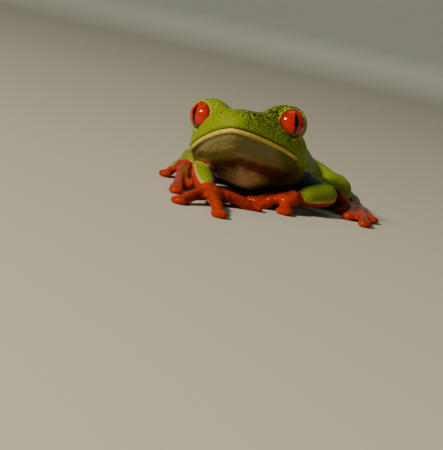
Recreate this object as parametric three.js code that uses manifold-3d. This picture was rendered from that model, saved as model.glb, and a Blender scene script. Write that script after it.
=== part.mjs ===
// Red-eyed tree frog, life size, sitting low on a flat floor with its head raised and turned.
//
// Units are millimetres and +Z is up. The frog faces -Y, so its own left is +X.
// The flesh is divided into head, jaw, trunk, arms, legs, hands, feet and digits. Neighbours meet
// across a cut GAP wide. Each piece is cut by all the pieces made before it.
// Everything that rests on the floor is trimmed flat at FLOOR, and the finished group is moved so
// that its origin is at the middle of its own base.

import * as THREE from "three";
import { mergeVertices } from "three/addons/utils/BufferGeometryUtils.js";
import Module from "manifold-3d";

const wasm = await Module();
wasm.setup();

// ---------------------------------------------------------------- driving dimensions

const FLOOR = 0;
const GAP = 0.3; // cut between neighbouring pieces
const FAR = 200; // longer than the frog, for cutting blocks
const FINEST = 2e-3; // corners closer than this are one corner

const HEAD = {
  jawCentre: [-0.1, 10.8, 6.3], // midpoint between the corners of the mouth
  yaw: 13.3, // snout turned to the frog's right
  pitch: 21.1, // snout raised
  roll: 8, // frog's left side raised
  length: 14.8, // corner of the mouth to snout tip, along the head
  halfWidth: 9.1, // at the corners of the mouth
  crown: 5.5, // height of the crown over the mouth
  throat: 4.3, // depth of the throat below the mouth
  taper: 0.56, // how fast the snout broadens: 0.5 is a parabola, 1 a straight wedge
  fullness: 0.12, // the cheeks are this much fuller than that
  neckReach: 5, // how far the head runs on behind the corners of the mouth
  snoutRise: 0.8, // the snout's foremost point lies this far above the mouth
};

const EYE = {
  radius: 2.4,
  side: 6.4, // from the midline
  ahead: 5.25, // ahead of the corners of the mouth
  height: 4.3, // above the mouth
  outward: 36.5, // the gaze turns this far from straight ahead
  down: 8, // and this far down
  hood: [3.75, 3.9, 3.1], // radii of the fleshy mound round the eyeball
  hoodBack: 0.4, // the mound's centre lies this far behind the eyeball's
  hoodIn: 0.6, // and this far nearer the midline
  rim: 1.1, // the lids end on a plane this far along the gaze
};

const NECK_CUT = -2.2; // the head ends this far from the corners of the mouth, along the head's y

// Evenly spaced stations from the neck to the vent.
const TRUNK = {
  path: [
    [-0.2, 8.0, 6.4],
    [0.9, 13.0, 5.9],
    [1.9, 18.0, 5.4],
    [2.5, 24.0, 5.0],
    [3.0, 31.0, 4.5],
    [3.5, 38.0, 4.1],
    [4.1, 44.0, 3.7],
    [4.6, 48.1, 3.9],
  ],
  wide: [6.4, 7.8, 8.4, 8.2, 7.1, 5.7, 4.4, 2.1],
  up: [4.2, 4.7, 4.9, 5.0, 5.2, 4.8, 3.7, 1.9],
  down: [2.4, 3.4, 4.6, 5.1, 4.8, 4.2, 3.4, 2.1],
};

const ARMS = {
  left: {
    shoulder: [8.8, 17.4, 3.9],
    elbow: [13.9, 13.4, 3.2],
    wrist: [8.6, 6.4, 2.6],
    palm: [6.8, 5.4, 1.9],
    tips: [
      [4.6, 11.6],
      [0.9, 8.8],
      [1.7, 4.6],
      [6.7, 1.4],
    ],
  },
  right: {
    shoulder: [-5.6, 19.0, 4.0],
    elbow: [-7.2, 11.4, 3.2],
    wrist: [-5.2, -0.4, 1.9],
    palm: [-4.5, -3.2, 1.6],
    tips: [
      [1.0, 3.6],
      [3.4, 0.6],
      [-2.4, -16.4],
      [-9.2, -10.8],
    ],
  },
};

const LEGS = {
  left: {
    hip: [7.2, 43.2, 3.0],
    knee: [14.3, 17.8, 3.5],
    heel: [13.2, 43.0, 2.3],
    ankle: [17.8, 29.5, 1.4],
    sole: [18.4, 24.0, 0.9],
    tips: [
      [14.2, 20.6],
      [15.4, 16.6],
      [16.6, 11.6],
      [19.2, 7.0],
      [20.8, 13.4],
    ],
  },
  right: {
    hip: [0.9, 43.2, 3.0],
    knee: [-6.8, 20.6, 3.1],
    heel: [-5.2, 44.6, 2.3],
    ankle: [-9.4, 32.0, 2.8],
    sole: [-9.9, 24.0, 2.1],
    tips: [
      [-6.8, 18.2],
      [-8.0, 13.4],
      [-8.5, 7.0],
      [-9.6, -0.4],
      [-12.6, 17.0],
    ],
  },
};

const DIGIT = {
  finger: { root: 0.98, shaft: 0.78, knuckle: 0.88, disc: 1.4, sides: 8, rings: 5 },
  toe: { root: 0.82, shaft: 0.67, knuckle: 0.76, disc: 1.2, sides: 7, rings: 4 },
};
const DISC = { length: 2.0, thick: 0.6, height: 0.48 };
// Evenly spaced radii along each limb segment, in the order of the body.
const UPPER_ARM = [2.0, 1.8, 1.7, 1.8];
const FOREARM = { left: [1.7, 1.9, 1.85, 1.65, 1.4], right: [1.3, 1.5, 1.7, 1.75, 1.5] };
const THIGH = [2.8, 3.0, 2.8, 2.5, 2.2];
const SHANK = [1.9, 2.4, 2.3, 1.8, 1.4, 1.5];
const TARSUS = [1.5, 1.2, 1.05, 1.1];
const PALM = { across: 1.9, along: 2.0, thick: 1.2 };
const SOLE = { across: 1.25, along: 2.6, thick: 0.8 };
const KNEE_FOLD = 0.9; // the shank starts this far to the outer side of the thigh's end
const WEB = { thick: 0.6, reach: 0.5 };

// ---------------------------------------------------------------- colours

const finish = (hex, roughness) =>
  new THREE.MeshStandardMaterial({ color: new THREE.Color(hex), roughness, metalness: 0 });

const SKIN_GREEN = finish("#6f9a26", 0.45);
const THROAT_CREAM = finish("#d9cba4", 0.5);
const LIMB_ORANGE = finish("#d8501a", 0.35);
const EYE_RED = finish("#d0180c", 0.1);

// ---------------------------------------------------------------- shape tools

const vec = (p) => new THREE.Vector3(...p);
const radians = THREE.MathUtils.degToRad;

/** A value that runs smoothly through evenly spaced samples, for t from 0 to 1. */
function smoothly(samples, t) {
  const x = Math.min(Math.max(t, 0), 1) * (samples.length - 1);
  const i = Math.min(Math.floor(x), samples.length - 2);
  const at = (k) => samples[Math.min(Math.max(k, 0), samples.length - 1)];
  const u = x - i;
  const [a, b, c, d] = [at(i - 1), at(i), at(i + 1), at(i + 2)];
  return b + 0.5 * u * (c - a + u * (2 * a - 5 * b + 4 * c - d + u * (3 * (b - c) + d - a)));
}

/**
 * One point of a rounded section, from its half width, its height up and its depth down.
 * A square of 2 is an ellipse, and more is squarer.
 */
function sectionPoint({ wide, up, down, square = 2, squareBelow = square }, angle) {
  const power = 2 / (Math.sin(angle) > 0 ? square : squareBelow);
  const bend = (v) => Math.sign(v) * Math.abs(v) ** power;
  const rise = bend(Math.sin(angle));
  return [wide * bend(Math.cos(angle)), (rise > 0 ? up : down) * rise];
}

/** A closed skin over rings of points, between an end point before the first and one after the last. */
function closedSkin(first, rings, last) {
  const sides = rings[0].length;
  const positions = [first, ...rings.flat(), last].flatMap((p) => p.toArray());
  const index = [];
  const at = (ring, side) => 1 + ring * sides + (side % sides);
  const end = 1 + rings.length * sides;
  for (let s = 0; s < sides; s++) {
    index.push(0, at(0, s + 1), at(0, s));
    index.push(end, at(rings.length - 1, s), at(rings.length - 1, s + 1));
    for (let r = 0; r + 1 < rings.length; r++) {
      index.push(at(r, s), at(r, s + 1), at(r + 1, s + 1));
      index.push(at(r, s), at(r + 1, s + 1), at(r + 1, s));
    }
  }
  return new THREE.BufferGeometry()
    .setAttribute("position", new THREE.Float32BufferAttribute(positions, 3))
    .setIndex(index);
}

/**
 * A round-ended body along a smooth path.
 * size(t) gives the section at t from 0 to 1, and grow swells it evenly all round.
 */
function loft(points, size, { sides = 14, rings = 8, cap = 3, grow = 0, up = [0, 0, 1] } = {}) {
  const path = new THREE.CatmullRomCurve3(points.map(vec), false, "centripetal");
  const length = path.getLength();
  const endRadius = (t) => {
    const { wide, up: high, down } = size(t);
    return Math.min(0.45 * length, Math.max(0.3, (wide + (high + down) / 2) / 2));
  };
  const [r0, r1] = [endRadius(0), endRadius(1)];
  const steps = [];
  for (let k = 1; k <= cap; k++) {
    const phi = (k / cap) * (Math.PI / 2);
    steps.push([r0 * (1 - Math.cos(phi)), Math.sin(phi)]);
  }
  for (let k = 1; k < rings; k++) steps.push([r0 + ((length - r0 - r1) * k) / rings, 1]);
  for (let k = cap; k >= 1; k--) {
    const phi = (k / cap) * (Math.PI / 2);
    steps.push([length - r1 * (1 - Math.cos(phi)), Math.sin(phi)]);
  }
  const made = steps.map(([s, scale]) => {
    const t = s / length;
    const along = path.getTangentAt(t);
    const side = vec(up).cross(along).normalize();
    const top = along.clone().cross(side);
    const section = size(t);
    const swell = { ...section };
    for (const half of ["wide", "up", "down"]) swell[half] = section[half] * scale + grow;
    const centre = path.getPointAt(t);
    return Array.from({ length: sides }, (_, k) => {
      const [x, z] = sectionPoint(swell, (2 * Math.PI * k) / sides);
      return centre.clone().addScaledVector(side, x).addScaledVector(top, z);
    });
  });
  const first = path.getPointAt(0).addScaledVector(path.getTangentAt(0), -grow);
  const last = path.getPointAt(1).addScaledVector(path.getTangentAt(1), grow);
  return closedSkin(first, made, last);
}

/** A three.js geometry as a solid that can be cut and joined. */
function solid(geometry, matrix = new THREE.Matrix4()) {
  const bare = geometry.clone().applyMatrix4(matrix);
  bare.deleteAttribute("normal");
  bare.deleteAttribute("uv");
  const merged = mergeVertices(bare, FINEST);
  return new wasm.Manifold(
    new wasm.Mesh({
      numProp: 3,
      vertProperties: new Float32Array(merged.attributes.position.array),
      triVerts: new Uint32Array(merged.index.array),
    }),
  );
}

/** The largest of a solid's separate bodies. */
function largest(made) {
  return made.decompose().reduce((a, b) => (b.volume() > a.volume() ? b : a));
}

/** A solid's faces as a three.js geometry. */
function facesOf(made) {
  const data = made.getMesh();
  return new THREE.BufferGeometry()
    .setAttribute("position", new THREE.Float32BufferAttribute(data.vertProperties, 3))
    .setIndex(new THREE.BufferAttribute(data.triVerts, 1));
}

/** A ball, squashed to three radii and placed by a matrix. */
function ball(radii, centre, matrix = new THREE.Matrix4(), [around, down] = [24, 16]) {
  const shape = new THREE.SphereGeometry(1, around, down);
  const place = new THREE.Matrix4()
    .multiplyMatrices(matrix, new THREE.Matrix4().makeTranslation(...centre))
    .multiply(new THREE.Matrix4().makeScale(...radii));
  return solid(shape, place);
}

/** All of space on the +side of a plane square to the given axis of a placed frame. */
function halfSpace(matrix, axis, from) {
  const centre = [0, 0, 0];
  centre[axis] = from + FAR / 2;
  const block = new THREE.BoxGeometry(FAR, FAR, FAR);
  return solid(block, matrix.clone().multiply(new THREE.Matrix4().makeTranslation(...centre)));
}

/** All of space on the -side of the same plane. */
const otherHalf = (matrix, axis, to) => halfSpace(matrix, axis, to - FAR);

// ---------------------------------------------------------------- the pieces so far

const frog = new THREE.Group();
const taken = []; // each earlier piece, swollen by GAP
const belowFloor = otherHalf(new THREE.Matrix4(), 2, FLOOR);

/** Adds one named piece: shape(grow) is cut by the pieces before it and by the floor. */
function addPiece(name, material, shape) {
  const trimmed = shape(0).subtract(belowFloor);
  const cut = taken.reduce((left, neighbour) => left.subtract(neighbour), trimmed);
  const piece = largest(solid(facesOf(largest(cut))));
  const mesh = new THREE.Mesh(facesOf(piece), material);
  mesh.name = name;
  frog.add(mesh);
  taken.push(shape(GAP));
}

const SIDES = { left: -1, right: 1 }; // along the head's own x

// ---------------------------------------------------------------- head and jaw

/** The head's own frame: x to the frog's right, y ahead along the snout, z up through the crown. */
function headFrame() {
  const [yaw, pitch, roll] = [HEAD.yaw, HEAD.pitch, HEAD.roll].map(radians);
  const facing = new THREE.Matrix4().makeRotationZ(Math.PI - yaw);
  const raised = new THREE.Matrix4().makeRotationX(pitch);
  const tilted = new THREE.Matrix4().makeRotationY(roll);
  return new THREE.Matrix4()
    .makeTranslation(...HEAD.jawCentre)
    .multiply(facing)
    .multiply(raised)
    .multiply(tilted);
}

const head = headFrame();

/** The head's section at a distance behind the snout tip. */
function headSection(back) {
  const { length, halfWidth, taper, fullness, crown, throat, neckReach, snoutRise } = HEAD;
  const behind = Math.max(0, back - length) / neckReach;
  const along = Math.min(back, length) / length;
  const cheeks = along ** taper * (1 + fullness * Math.sin(Math.PI * along ** 1.6));
  const wide = halfWidth * cheeks * (1 - 0.16 * behind ** 1.5);
  const crownHeight = crown * (1 - Math.exp(-back / 4)) ** 0.6 * (1 - 0.16 * behind);
  const throatDepth = throat * (1 - Math.exp(-back / 7)) ** 0.75 * 1.12 * (1 - 0.25 * behind ** 2);
  const rise = snoutRise * Math.exp(-back / 1.5);
  const [up, down] = [crownHeight - rise, throatDepth + rise];
  return { wide, up, down, rise, square: 3, squareBelow: 1.42 };
}

/** Skull, cheeks and throat in one, in the head's own frame. */
function headBlock(grow) {
  const rings = 14;
  const sides = 24;
  const total = HEAD.length + HEAD.neckReach;
  const made = [];
  for (let k = 1; k <= rings; k++) {
    const back = total * (k / rings) ** 1.7;
    const section = headSection(back);
    const swell = {
      ...section,
      wide: section.wide + grow,
      up: section.up + grow,
      down: section.down + grow,
    };
    made.push(
      Array.from({ length: sides }, (_, s) => {
        const [x, z] = sectionPoint(swell, (2 * Math.PI * s) / sides);
        return new THREE.Vector3(x, HEAD.length - back, z + section.rise);
      }),
    );
  }
  const tip = new THREE.Vector3(0, HEAD.length + grow, HEAD.snoutRise);
  const nape = new THREE.Vector3(0, -HEAD.neckReach - 1 - grow, 0);
  return solid(closedSkin(tip, made, nape), head);
}

/** Unit vector of one eye's gaze, in the head's own frame. */
function gaze(side) {
  const [out, down] = [radians(EYE.outward), radians(EYE.down)];
  const level = Math.cos(down);
  return new THREE.Vector3(side * Math.sin(out) * level, Math.cos(out) * level, -Math.sin(down));
}

const eyeCentre = (side) => new THREE.Vector3(side * EYE.side, EYE.ahead, EYE.height);

/** A frame at the middle of the eyeball with its y along the gaze. */
function eyeFrame(side) {
  const turn = new THREE.Quaternion().setFromUnitVectors(new THREE.Vector3(0, 1, 0), gaze(side));
  const unscaled = new THREE.Vector3(1, 1, 1);
  return head.clone().multiply(new THREE.Matrix4().compose(eyeCentre(side), turn, unscaled));
}

/** The eyeball, with its poles on the line of sight. */
function eyeball(side, grow) {
  const r = EYE.radius + grow;
  return ball([r, r, r], [0, 0, 0], eyeFrame(side), [14, 8]);
}

/** The dome of flesh that holds the eye and makes its lids. */
function eyeHood(side, grow) {
  const centre = eyeCentre(side).addScaledVector(gaze(side), -EYE.hoodBack);
  centre.x -= side * EYE.hoodIn;
  const mound = ball(EYE.hood.map((r) => r + grow), centre.toArray(), head, [13, 8]);
  return mound.intersect(otherHalf(eyeFrame(side), 1, EYE.rim + grow));
}

for (const [side, sign] of Object.entries(SIDES)) {
  addPiece(`eye_${side}`, EYE_RED, (grow) => eyeball(sign, grow));
}

const wholeHead = (grow) =>
  [1, -1].reduce((made, side) => made.add(eyeHood(side, grow)), headBlock(grow));

addPiece("head", SKIN_GREEN, (grow) =>
  wholeHead(grow)
    .intersect(halfSpace(head, 2, -grow))
    .intersect(halfSpace(head, 1, NECK_CUT - grow)),
);
addPiece("jaw", THROAT_CREAM, (grow) =>
  headBlock(grow)
    .intersect(otherHalf(head, 2, grow))
    .intersect(halfSpace(head, 1, NECK_CUT - grow)),
);

// ---------------------------------------------------------------- trunk

addPiece("trunk", SKIN_GREEN, (grow) => {
  const size = (t) => ({
    wide: smoothly(TRUNK.wide, t),
    up: smoothly(TRUNK.up, t),
    down: smoothly(TRUNK.down, t),
    square: 2.15,
  });
  const trunk = solid(loft(TRUNK.path, size, { sides: 18, rings: 9, cap: 2, grow }));
  return trunk.add(headBlock(grow).intersect(otherHalf(head, 1, NECK_CUT + grow)));
});

// ---------------------------------------------------------------- limbs

/** A limb segment: path points, evenly spaced radii, and how flat it is. */
function segment({ path, radii, flat = 1, sides = 10, rings = 5 }, grow) {
  const size = (t) => {
    const r = smoothly(radii, t);
    return { wide: r, up: r * flat, down: r * flat };
  };
  return solid(loft(path, size, { sides, rings, cap: 2, grow }));
}

const mid = (a, b, t = 0.5) => a.map((v, k) => v + (b[k] - v) * t);
const lifted = (p, dz) => [p[0], p[1], p[2] + dz];
const beside = (p, q) => [p[0] + Math.sign(q[0]) * KNEE_FOLD, p[1], p[2]];

/** Where a digit begins: inside the palm or sole, on the way to its tip. */
function rootOf(centre, tip, inset) {
  const [dx, dy] = [tip[0] - centre[0], tip[1] - centre[1]];
  const reach = Math.hypot(dx, dy);
  return [centre[0] + (dx / reach) * inset, centre[1] + (dy / reach) * inset, centre[2] - 0.1];
}

/** A digit from its root to its sticky disc, which lies flat on the floor. */
function digit(root, tip, kind, grow) {
  const { root: rootRadius, shaft, knuckle, disc, sides, rings } = DIGIT[kind];
  const end = [...tip, DISC.height];
  const reach = Math.hypot(end[0] - root[0], end[1] - root[1]);
  const share = 1 - DISC.length / reach;
  const neck = [...mid(root, end, share).slice(0, 2), DISC.height + 0.05];
  const size = (t) => {
    const onDisc = (t - share) / (1 - share);
    const shank = smoothly([rootRadius, rootRadius, shaft, knuckle, shaft], t / share);
    const wide = t < share ? shank : smoothly([shaft, disc, disc, disc * 0.8], onDisc);
    const thick = t < share ? shank : smoothly([shaft, DISC.thick, DISC.thick], onDisc);
    return { wide, up: thick, down: thick };
  };
  const path = [root, lifted(mid(root, neck), 0.3), neck, mid(neck, end), end];
  return solid(loft(path, size, { sides, rings, cap: 2, grow }));
}

/** The palm or sole: a flattened ball with the wrist or ankle running into it. */
function pad(from, centre, neckRadius, { across, along, thick }, grow) {
  const heading = Math.atan2(centre[1] - from[1], centre[0] - from[0]);
  const turned = new THREE.Matrix4().makeRotationZ(heading);
  const place = new THREE.Matrix4().makeTranslation(...centre).multiply(turned);
  const cushion = ball([along + grow, across + grow, thick + grow], [0, 0, 0], place, [8, 5]);
  const radii = [neckRadius, neckRadius, thick];
  return cushion.add(segment({ path: [from, centre], radii, rings: 2, sides: 8 }, grow));
}

/** The web between two neighbouring toes: a thin sheet from between their roots, widening outward. */
function web([rootA, tipA], [rootB, tipB], grow) {
  const edge = (root, tip) => mid(root, [...tip, DISC.height], WEB.reach);
  const [edgeA, edgeB] = [edge(rootA, tipA), edge(rootB, tipB)];
  const half = (p, q) => Math.hypot(p[0] - q[0], p[1] - q[1]) / 2;
  const [near, far] = [half(rootA, rootB), half(edgeA, edgeB)];
  const thin = WEB.thick / 2;
  const size = (t) => ({ wide: near + (far - near) * t, up: thin, down: thin });
  const path = [mid(rootA, rootB), mid(edgeA, edgeB)];
  return solid(loft(path, size, { sides: 6, rings: 2, cap: 2, grow }));
}

for (const [side, { shoulder, elbow, wrist, palm, tips }] of Object.entries(ARMS)) {
  const upperArm = [shoulder, lifted(mid(shoulder, elbow), 0.3), elbow];
  const forearm = [elbow, mid(elbow, wrist), wrist];
  const roots = tips.map((tip) => rootOf(palm, tip, PALM.across * 0.75));
  addPiece(`upper_arm_${side}`, LIMB_ORANGE, (grow) =>
    segment({ path: upperArm, radii: UPPER_ARM }, grow),
  );
  addPiece(`forearm_${side}`, SKIN_GREEN, (grow) =>
    segment({ path: forearm, radii: FOREARM[side] }, grow),
  );
  tips.forEach((tip, k) =>
    addPiece(`finger_${side}_${k + 1}`, LIMB_ORANGE, (grow) => digit(roots[k], tip, "finger", grow)),
  );
  addPiece(`hand_${side}`, LIMB_ORANGE, (grow) => pad(wrist, palm, 1.35, PALM, grow));
}

for (const [side, { hip, knee, heel, ankle, sole, tips }] of Object.entries(LEGS)) {
  const thigh = [hip, lifted(mid(hip, knee), 0.3), knee];
  const shank = [beside(knee, heel), mid(knee, heel), heel];
  const tarsus = [heel, mid(heel, ankle), ankle];
  const roots = tips.map((tip) => rootOf(sole, tip, SOLE.across * 0.7));
  const rays = tips.map((tip, k) => [roots[k], tip]);
  addPiece(`thigh_${side}`, LIMB_ORANGE, (grow) => segment({ path: thigh, radii: THIGH }, grow));
  addPiece(`shank_${side}`, SKIN_GREEN, (grow) => segment({ path: shank, radii: SHANK }, grow));
  addPiece(`tarsus_${side}`, SKIN_GREEN, (grow) => segment({ path: tarsus, radii: TARSUS }, grow));
  tips.forEach((tip, k) =>
    addPiece(`toe_${side}_${k + 1}`, LIMB_ORANGE, (grow) => digit(roots[k], tip, "toe", grow)),
  );
  addPiece(`foot_${side}`, LIMB_ORANGE, (grow) => {
    const cushion = pad(ankle, sole, 1.05, SOLE, grow);
    return rays.slice(1).reduce((made, ray, k) => made.add(web(rays[k], ray, grow)), cushion);
  });
}

// ---------------------------------------------------------------- origin at the middle of the base

const bounds = new THREE.Box3().setFromObject(frog);
const centre = bounds.getCenter(new THREE.Vector3());
frog.position.set(-centre.x, -centre.y, -bounds.min.z);

export default frog;
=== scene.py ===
"""A red-eyed tree frog, life size: one skin over the flesh, two glossy eyes, a plain studio."""

import logging
import math
from dataclasses import dataclass, field
from enum import Enum

import bpy
import numpy as np
from bpy.types import Material, Mesh, NodeSocket, Object
from mathutils import Matrix, Vector
from mathutils.bvhtree import BVHTree


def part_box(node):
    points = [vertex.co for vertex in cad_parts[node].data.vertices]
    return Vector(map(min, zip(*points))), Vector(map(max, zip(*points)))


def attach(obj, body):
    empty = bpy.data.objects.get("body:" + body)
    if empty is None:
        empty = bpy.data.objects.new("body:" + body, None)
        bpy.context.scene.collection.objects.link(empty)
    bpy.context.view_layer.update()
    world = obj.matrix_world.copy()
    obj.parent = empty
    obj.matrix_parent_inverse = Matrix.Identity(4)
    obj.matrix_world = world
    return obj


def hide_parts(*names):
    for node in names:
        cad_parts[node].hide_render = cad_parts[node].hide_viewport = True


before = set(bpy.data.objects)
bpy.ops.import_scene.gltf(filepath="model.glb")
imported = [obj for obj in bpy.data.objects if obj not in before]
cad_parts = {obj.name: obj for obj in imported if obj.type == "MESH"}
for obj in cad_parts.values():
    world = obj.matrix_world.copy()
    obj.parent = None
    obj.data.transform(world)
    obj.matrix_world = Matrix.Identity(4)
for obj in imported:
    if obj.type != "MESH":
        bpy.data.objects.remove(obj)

MM = 0.001
PER_METRE = 1 / MM
NOWHERE = -3.0  # a stored distance well outside every border, in millimetres
Array = np.ndarray
Socket = NodeSocket
Pair = tuple[float, float]
Triple = tuple[float, float, float]
log = logging.getLogger("frog")


class Slot(Enum):
    """The record's material slot names for the skin and the eyes; no piece here takes its finish
    from them.
    """

    SKIN = "green_skin"
    EYE = "eye"


class Side(Enum):
    """The frog's own sides, as signs along the head's own x."""

    LEFT = -1
    RIGHT = 1


# ---- small tools


def linear(hex_colour: str) -> tuple[float, float, float, float]:
    """Turns an sRGB hex colour into linear light.

    Args:
        hex_colour: A colour such as "#a0b030".

    Returns:
        Red, green, blue and an alpha of one.
    """
    parts = [int(hex_colour[i : i + 2], 16) / 255 for i in (1, 3, 5)]
    light = [c / 12.92 if c <= 0.04045 else ((c + 0.055) / 1.055) ** 2.4 for c in parts]
    return (*light, 1.0)


def choose(*objects: Object) -> None:
    """Selects only these objects and makes the first one active.

    Args:
        objects: What the next operator acts on.
    """
    bpy.ops.object.select_all(action="DESELECT")
    for obj in objects:
        obj.select_set(True)
    bpy.context.view_layer.objects.active = objects[0]


def apply_modifier(obj: Object, kind: str, **settings: object) -> None:
    """Adds one modifier and applies it.

    Args:
        obj: The object to change.
        kind: The modifier's type.
        settings: The modifier's own settings.
    """
    choose(obj)
    bpy.ops.object.modifier_add(type=kind)
    modifier = obj.modifiers[-1]
    for name, value in settings.items():
        setattr(modifier, name, value)
    bpy.ops.object.modifier_apply(modifier=modifier.name)


def rows_of(items: object, name: str) -> Array:
    """Reads three numbers from each of a mesh's items.

    Args:
        items: The mesh's vertices or normals.
        name: The property that holds the numbers.

    Returns:
        One row for each item.
    """
    flat = np.empty(len(items) * 3, np.float32)
    items.foreach_get(name, flat)
    return flat.reshape(-1, 3).astype(float)


def corners(mesh: Mesh) -> Array:
    """A mesh's points, as rows of x, y, z in metres."""
    return rows_of(mesh.vertices, "co")


def normals(mesh: Mesh) -> Array:
    """The outward direction at each of a mesh's points, as unit rows."""
    return rows_of(mesh.vertex_normals, "vector")


def move_corners(mesh: Mesh, points: Array) -> None:
    """Moves a mesh's points to these rows of x, y, z in metres."""
    mesh.vertices.foreach_set("co", points.astype(np.float32).ravel())
    mesh.update()


def paint(mesh: Mesh, name: str, values: Array) -> None:
    """Stores one number for each point of a mesh, for its material to read by name."""
    layer = mesh.attributes.new(name, "FLOAT", "POINT")
    layer.data.foreach_set("value", values.astype(np.float32))


def ease(values: Array, start: float, end: float) -> Array:
    """Rises smoothly from 0 at start to 1 at end, which lies above or below start."""
    t = np.clip((values - start) / (end - start), 0, 1)
    return t * t * (3 - 2 * t)


def bump(values: Array, width: float) -> Array:
    """A rounded hill, 1 where the values are zero and nearly 0 two widths away."""
    return np.exp(-((values / width) ** 2))


def unit(rows: Array) -> Array:
    """Scales one direction, or the direction in each row, to length one."""
    return rows / np.maximum(np.linalg.norm(rows, axis=-1, keepdims=True), 1e-12)


def box_centre(node: str) -> Array:
    """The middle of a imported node's box, in metres."""
    low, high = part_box(node)
    return (np.array(low) + np.array(high)) / 2


class Neighbours:
    """Evens out numbers and points over a mesh by its edges."""

    def __init__(self, mesh: Mesh) -> None:
        """Reads the mesh's edges.

        Args:
            mesh: The mesh whose points are evened out.
        """
        edges = np.empty(len(mesh.edges) * 2, np.int32)
        mesh.edges.foreach_get("vertices", edges)
        pairs = edges.reshape(-1, 2)
        self.here = np.concatenate([pairs[:, 0], pairs[:, 1]])
        self.there = np.concatenate([pairs[:, 1], pairs[:, 0]])
        self.count = len(mesh.vertices)
        self.degree = np.maximum(np.bincount(self.here, minlength=self.count), 1)

    def average(self, values: Array) -> Array:
        """The mean over each point's neighbours."""
        total = np.bincount(self.here, weights=values[self.there], minlength=self.count)
        return total / self.degree

    def even(self, values: Array, times: int) -> Array:
        """Evens numbers out over the surface.

        Args:
            values: One number for each point.
            times: How often each point moves half-way to its neighbours' mean.

        Returns:
            The evened numbers.
        """
        for _ in range(times):
            values = 0.5 * (values + self.average(values))
        return values


# ---- node materials


def add_node(
    material: Material, kind: str, links: dict[str | int, object], **settings: object
) -> bpy.types.Node:
    """Adds one shader node, with what feeds it and its settings.

    Args:
        material: The material whose tree gets the node.
        kind: The node's type without the "ShaderNode" in front.
        links: For each input, an output socket to link or a value to set.
        settings: The node's own properties.

    Returns:
        The new node.
    """
    tree = material.node_tree
    node = tree.nodes.new("ShaderNode" + kind)
    for name, value in settings.items():
        setattr(node, name, value)
    for name, value in links.items():
        if isinstance(value, NodeSocket):
            tree.links.new(value, node.inputs[name])
        else:
            node.inputs[name].default_value = value
    return node


def bare_material(name: str) -> Material:
    """A new material with an empty node tree.

    Args:
        name: The material's name.

    Returns:
        The material.
    """
    material = bpy.data.materials.new(name)
    material.use_nodes = True
    material.node_tree.nodes.clear()
    return material


def stored(material: Material, name: str) -> Socket:
    """Reads the number that paint stored under this name."""
    return add_node(material, "Attribute", {}, attribute_name=name).outputs["Fac"]


def noise(material: Material, place: Socket, scale: float, detail: float) -> Socket:
    """Cloudy noise from 0 to 1, its clouds about one over scale across."""
    links = {"Vector": place, "Scale": scale, "Detail": detail}
    return add_node(material, "TexNoise", links).outputs["Fac"]


def maths(
    material: Material, operation: str, *values: object, clamp: bool = False
) -> Socket:
    """Joins sockets and numbers by one operation, and clamps the result to 0 to 1 if asked."""
    links = dict(enumerate(values))
    return add_node(material, "Math", links, operation=operation, use_clamp=clamp).outputs[0]


def ramp(
    material: Material,
    value: Socket,
    span: Pair = (0.0, 1.0),
    ends: tuple[object, object] = (0.0, 1.0),
    kind: str = "SMOOTHSTEP",
) -> Socket:
    """Runs from one number to another while a value crosses a span.

    Args:
        material: The material whose tree gets the node.
        value: The value that crosses the span.
        span: Where the run starts and where it ends.
        ends: The result at the start and at the end, as numbers or sockets.
        kind: The Map Range node's own word for the shape of the run.

    Returns:
        The result's socket.
    """
    (low, high), (first, last) = span, ends
    links = {"Value": value, "From Min": low, "From Max": high, "To Min": first, "To Max": last}
    return add_node(material, "MapRange", links, interpolation_type=kind).outputs["Result"]


def blend(material: Material, share: Socket, under: object, over: object) -> Socket:
    """Lays one colour over another, by how much of the upper one shows, from 0 to 1."""
    links = {0: share, 6: under, 7: over}
    return add_node(material, "Mix", links, data_type="RGBA").outputs[2]


def shaded(material: Material, surface: dict[str, object]) -> Material:
    """Ends a material's tree in one surface shader, and gives the material back.

    Args:
        material: The material.
        surface: For each of the shader's inputs, a value or a socket to link.

    Returns:
        The same material.
    """
    shader = add_node(material, "BsdfPrincipled", surface)
    add_node(material, "OutputMaterial", {"Surface": shader.outputs["BSDF"]})
    return material


# ---- the head's own frame


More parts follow.
